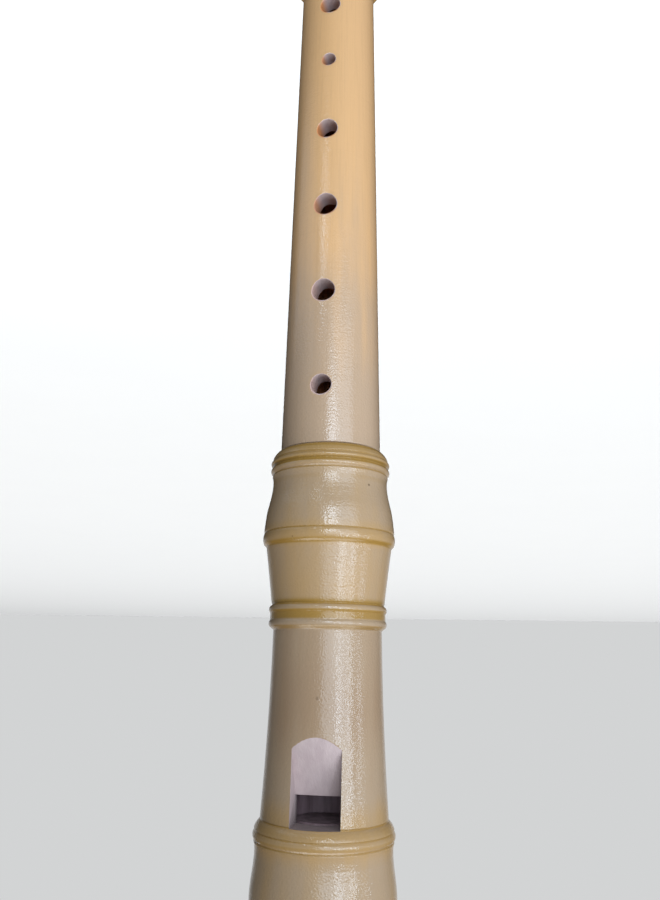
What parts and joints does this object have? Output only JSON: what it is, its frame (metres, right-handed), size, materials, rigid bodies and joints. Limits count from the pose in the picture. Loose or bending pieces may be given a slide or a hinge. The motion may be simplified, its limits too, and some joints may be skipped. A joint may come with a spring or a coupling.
{
  "type": "soprano recorder",
  "caption": "Turned wooden soprano recorder in three joints with cork-lapped tenons, a fipple block, tapered bore and baroque finger holes.",
  "frame": {"origin": "centre of the foot joint's flat end, on the bore axis, where the recorder stands", "axes": "+Z along the bore from the foot to the beak, -Y towards the window, +X to the right seen from the front; the middle joint's finger holes are set 4.4 degrees from -Y towards +X, the foot's hole 8 degrees towards -X"},
  "size_m": [0.0308, 0.0306, 0.326],
  "materials": {
    "varnished_maple": "pale maple under clear golden varnish that is darker where it gathers in the grooves",
    "cedar": "bare fine cedar, unvarnished",
    "cork": "natural cork with dark pores, greased"
  },
  "bodies": {
    "foot": {"foot_joint": "varnished_maple"},
    "lower_cork": {"lower_tenon_cork": "cork"},
    "middle": {"middle_joint": "varnished_maple"},
    "upper_cork": {"upper_tenon_cork": "cork"},
    "head": {"head_joint": "varnished_maple"},
    "plug": {"block": "cedar"}
  },
  "joints": [
    {"name": "foot_pull", "type": "slide", "parent": "foot", "child": "lower_cork", "axis": [0, 0, 1], "range_m": [0, 0.02]},
    {"name": "foot_turn", "type": "hinge", "parent": "lower_cork", "child": "middle", "pos_m": [0, 0, 0.065], "axis": [0, 0, 1], "continuous": true},
    {"name": "head_turn", "type": "hinge", "parent": "middle", "child": "upper_cork", "pos_m": [0, 0, 0.214], "axis": [0, 0, 1], "continuous": true},
    {"name": "head_pull", "type": "slide", "parent": "upper_cork", "child": "head", "axis": [0, 0, 1], "range_m": [0, 0.025]},
    {"name": "block_slide", "type": "slide", "parent": "head", "child": "plug", "axis": [0, 0, 1], "range_m": [0, 0.045]}
  ]
}
